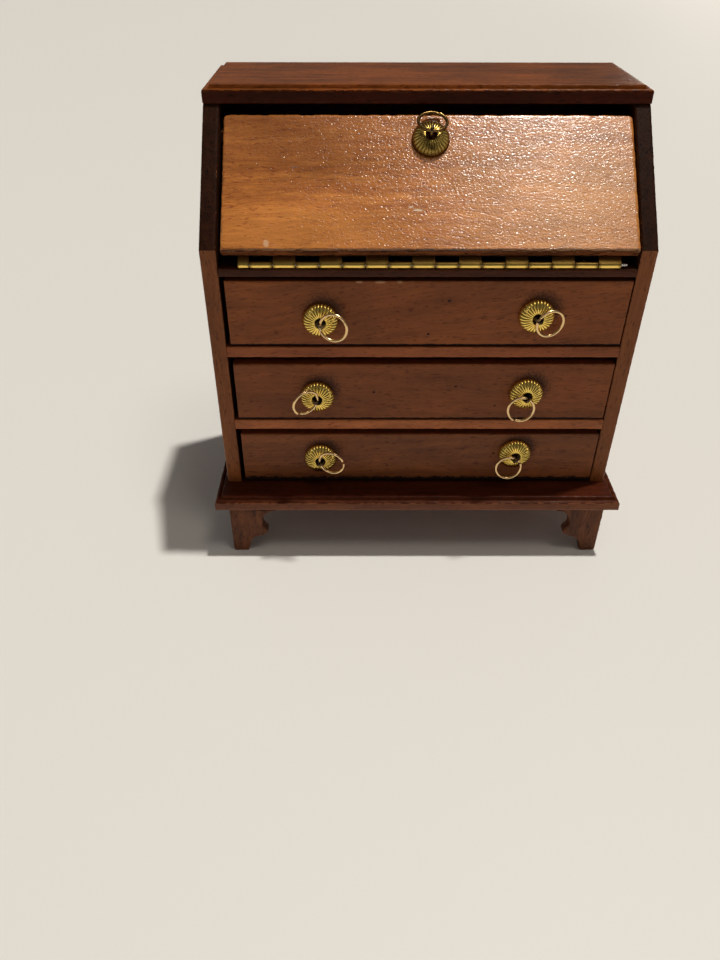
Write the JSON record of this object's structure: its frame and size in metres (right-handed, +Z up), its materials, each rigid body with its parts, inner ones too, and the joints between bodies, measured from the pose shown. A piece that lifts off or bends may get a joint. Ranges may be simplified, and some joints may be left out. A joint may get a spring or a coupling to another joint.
{
  "type": "slant-front bureau, dolls' house size",
  "caption": "Miniature slant-front writing bureau with a hinged sloping lid, drawers with brass ring pulls, moulded top and plinth boards, and bracket feet.",
  "frame": {"origin": "middle of the footprint, on the surface that the feet stand on", "axes": "+X to the right seen from the front, +Y to the back, +Z up; the front faces -Y"},
  "size_m": [0.084, 0.0492, 0.0872],
  "materials": {
    "case_wood": "dark stained hardwood under gloss varnish",
    "top_wood": "stained hardwood under gloss varnish",
    "plinth_wood": "stained hardwood under gloss varnish",
    "foot_wood": "stained hardwood, rougher where it was carved",
    "lid_wood": "warm brown hardwood under gloss varnish",
    "drawer_wood": "stained hardwood under gloss varnish",
    "inside_wood": "plain unvarnished wood",
    "pull_brass": "pressed brass, fluted",
    "pull_wire": "dull brass wire",
    "ring_wire": "lacquered brass wire",
    "hinge_brass": "rolled brass",
    "pin_steel": "drawn steel wire"
  },
  "bodies": {
    "carcass": {"top_board": "top_wood", "plinth_board": "plinth_wood", "side_left": "case_wood", "side_right": "case_wood", "back_panel": "inside_wood", "divider_lower": "case_wood", "divider_upper": "case_wood", "writing_board": "case_wood", "pigeonhole_shelf": "inside_wood", "pigeonhole_divider_1": "inside_wood", "pigeonhole_divider_2": "inside_wood", "pigeonhole_divider_3": "inside_wood", "lid_stop_left": "inside_wood", "lid_stop_right": "inside_wood", "foot_front_left": "foot_wood", "foot_front_right": "foot_wood", "foot_side_front_left": "foot_wood", "foot_side_front_right": "foot_wood", "foot_side_back_left": "foot_wood", "foot_side_back_right": "foot_wood", "hinge_leaf_case": "hinge_brass", "hinge_pin": "pin_steel", "hinge_brads_case": "hinge_brass"},
    "lid": {"lid": "lid_wood", "hinge_leaf_lid": "hinge_brass", "hinge_brads_lid": "hinge_brass", "rosette_lid": "pull_brass", "eye_lid": "pull_wire"},
    "drawer_lower": {"drawer_lower_front": "drawer_wood", "drawer_lower_side_left": "inside_wood", "drawer_lower_side_right": "inside_wood", "drawer_lower_back": "inside_wood", "drawer_lower_base": "inside_wood", "rosette_lower_left": "pull_brass", "rosette_lower_right": "pull_brass", "eyes_lower": "pull_wire"},
    "drawer_middle": {"drawer_middle_front": "drawer_wood", "drawer_middle_side_left": "inside_wood", "drawer_middle_side_right": "inside_wood", "drawer_middle_back": "inside_wood", "drawer_middle_base": "inside_wood", "rosette_middle_left": "pull_brass", "rosette_middle_right": "pull_brass", "eyes_middle": "pull_wire"},
    "drawer_upper": {"drawer_upper_front": "drawer_wood", "drawer_upper_side_left": "inside_wood", "drawer_upper_side_right": "inside_wood", "drawer_upper_back": "inside_wood", "drawer_upper_base": "inside_wood", "rosette_upper_left": "pull_brass", "rosette_upper_right": "pull_brass", "eyes_upper": "pull_wire"},
    "ring_upper_left": {"ring_upper_left": "ring_wire"},
    "ring_upper_right": {"ring_upper_right": "ring_wire"},
    "ring_middle_left": {"ring_middle_left": "ring_wire"},
    "ring_middle_right": {"ring_middle_right": "ring_wire"},
    "ring_lower_left": {"ring_lower_left": "ring_wire"},
    "ring_lower_right": {"ring_lower_right": "ring_wire"},
    "ring_lid": {"ring_lid": "ring_wire"}
  },
  "joints": [
    {"name": "lid_hinge", "type": "hinge", "parent": "carcass", "child": "lid", "pos_m": [0, -0.0177, 0.0621], "axis": [1, 0, 0], "range_deg": [0, 136.5]},
    {"name": "drawer_lower_slide", "type": "slide", "parent": "carcass", "child": "drawer_lower", "axis": [0, -1, 0], "range_m": [0, 0.032]},
    {"name": "drawer_middle_slide", "type": "slide", "parent": "carcass", "child": "drawer_middle", "axis": [0, -1, 0], "range_m": [0, 0.032]},
    {"name": "drawer_upper_slide", "type": "slide", "parent": "carcass", "child": "drawer_upper", "axis": [0, -1, 0], "range_m": [0, 0.032]},
    {"name": "ring_upper_left_swing", "type": "hinge", "parent": "drawer_upper", "child": "ring_upper_left", "pos_m": [-0.0192, -0.0203, 0.0518], "axis": [-0.1045, 0, -0.9945], "range_deg": [-31, 179]},
    {"name": "ring_upper_right_swing", "type": "hinge", "parent": "drawer_upper", "child": "ring_upper_right", "pos_m": [0.0204, -0.0203, 0.0526], "axis": [-0.342, 0, -0.9397], "range_deg": [-1, 209]},
    {"name": "ring_middle_left_swing", "type": "hinge", "parent": "drawer_middle", "child": "ring_middle_left", "pos_m": [-0.0203, -0.0203, 0.0355], "axis": [0.2588, 0, 0.9659], "range_deg": [-46, 164]},
    {"name": "ring_middle_right_swing", "type": "hinge", "parent": "drawer_middle", "child": "ring_middle_right", "pos_m": [0.0206, -0.0203, 0.0362], "axis": [-0.9063, 0, 0.4226], "range_deg": [-19, 191]},
    {"name": "ring_lower_left_swing", "type": "hinge", "parent": "drawer_lower", "child": "ring_lower_left", "pos_m": [-0.0201, -0.0203, 0.0207], "axis": [0.2419, 0, -0.9703], "range_deg": [-31, 179]},
    {"name": "ring_lower_right_swing", "type": "hinge", "parent": "drawer_lower", "child": "ring_lower_right", "pos_m": [0.0201, -0.0203, 0.0218], "axis": [-0.848, 0, 0.5299], "range_deg": [-17, 193]},
    {"name": "ring_lid_swing", "type": "hinge", "parent": "lid", "child": "ring_lid", "pos_m": [0.0006, -0.005, 0.08125], "axis": [0.9945, -0.0758, -0.072], "range_deg": [-1, 223]}
  ]
}
